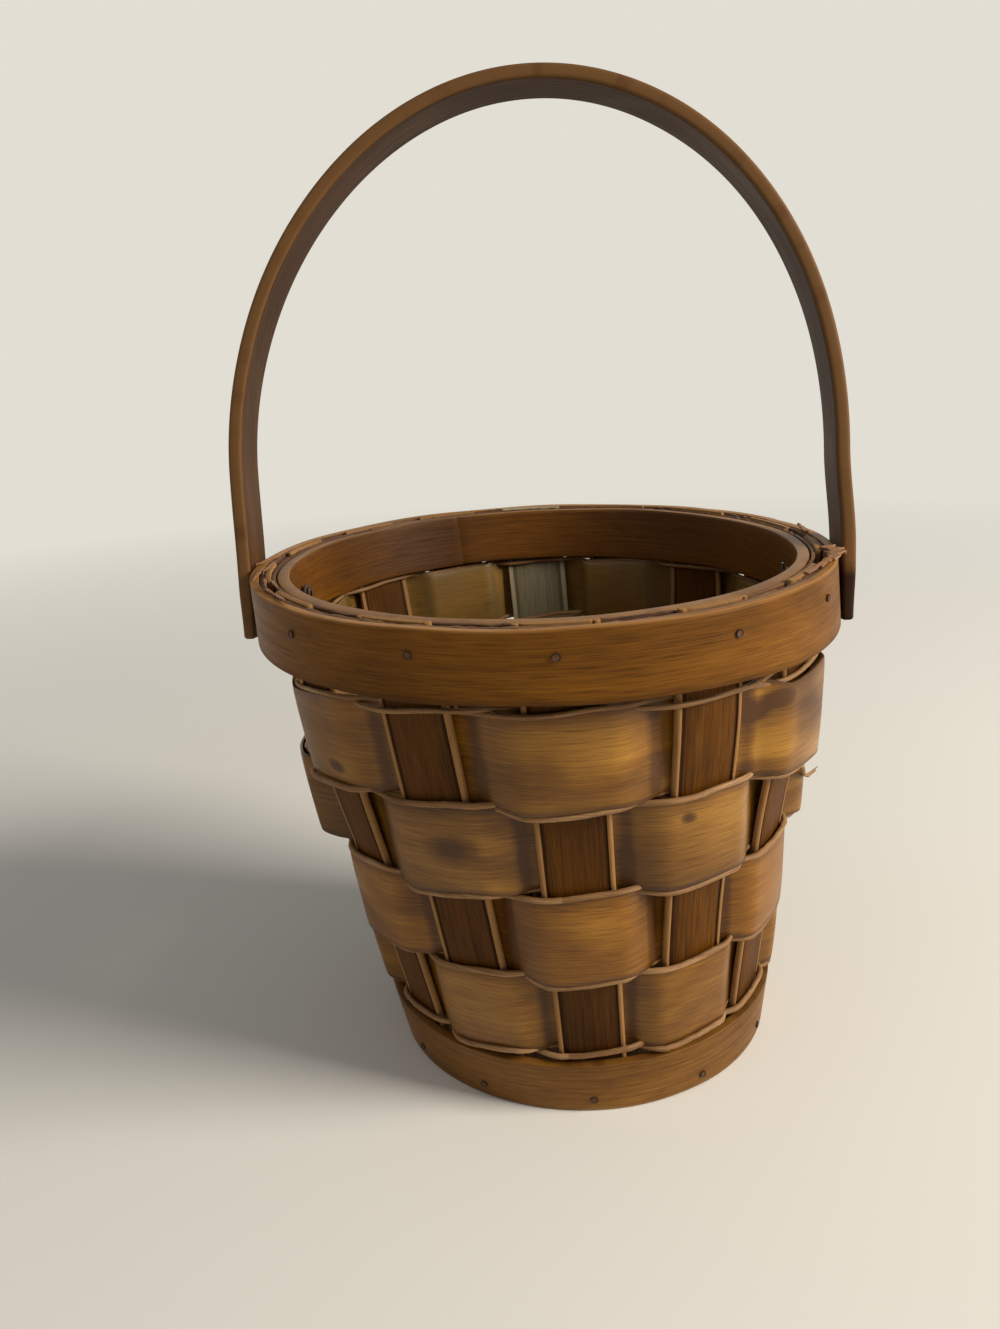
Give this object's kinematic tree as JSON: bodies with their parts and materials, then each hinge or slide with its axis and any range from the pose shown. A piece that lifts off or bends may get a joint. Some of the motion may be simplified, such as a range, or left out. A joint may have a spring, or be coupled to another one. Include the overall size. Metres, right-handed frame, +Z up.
{
  "type": "splint basket",
  "caption": "Round, tapered splint basket with twined rows, a hooped rim and a bentwood handle that swings on two rivets.",
  "frame": {"origin": "on the surface the basket stands on, under the middle of the rim", "axes": "+Z up, +X along the handle's pivot axis to the right, -Y to the pictured front"},
  "size_m": [0.2158, 0.2016, 0.3354],
  "materials": {
    "stakes": "dark brown stain, grain along the stake",
    "weavers": "brown stain, satin, worn lighter on the bulges",
    "twine": "thin split strands, matt, light brown",
    "hoops": "brown stain, satin, grain round the hoop",
    "disc": "brown stain, matt",
    "handle": "dark brown stain, satin, grain along the bow",
    "tacks": "browned steel",
    "rivets": "dull bare steel"
  },
  "bodies": {
    "basket": {"base_disc": "disc", "base_hoop": "hoops", "rim_filler_inner": "twine", "rim_filler_outer": "twine", "rim_inner_hoop": "hoops", "rim_outer_hoop": "hoops", "rim_tack_01": "tacks", "rim_tack_02": "tacks", "rim_tack_03": "tacks", "rim_tack_04": "tacks", "rim_tack_05": "tacks", "rim_tack_06": "tacks", "rim_tack_07": "tacks", "rim_tack_08": "tacks", "rim_tack_09": "tacks", "rim_tack_10": "tacks", "rim_tack_11": "tacks", "rim_tack_12": "tacks", "rim_tack_13": "tacks", "rivet_left": "rivets", "rivet_right": "rivets", "stake_01": "stakes", "stake_02": "stakes", "stake_03": "stakes", "stake_04": "stakes", "stake_05": "stakes", "stake_06": "stakes", "stake_07": "stakes", "stake_08": "stakes", "stake_09": "stakes", "stake_10": "stakes", "stake_11": "stakes", "stake_12": "stakes", "stake_13": "stakes", "stake_14": "stakes", "twine_1_strand_a": "twine", "twine_1_strand_b": "twine", "twine_2_strand_a": "twine", "twine_2_strand_b": "twine", "twine_3_strand_a": "twine", "twine_3_strand_b": "twine", "twine_4_strand_a": "twine", "twine_4_strand_b": "twine", "twine_5_strand_a": "twine", "twine_5_strand_b": "twine", "washer_left": "rivets", "washer_right": "rivets", "weaver_1_back": "weavers", "weaver_1_front": "weavers", "weaver_2_back": "weavers", "weaver_2_front": "weavers", "weaver_3_back": "weavers", "weaver_3_front": "weavers", "weaver_4_back": "weavers", "weaver_4_front": "weavers"},
    "handle": {"handle_bow": "handle"}
  },
  "joints": [
    {"name": "handle_swing", "type": "hinge", "parent": "basket", "child": "handle", "pos_m": [0, 0, 0.166], "axis": [1, 0, 0], "range_deg": [-135, 154]}
  ]
}
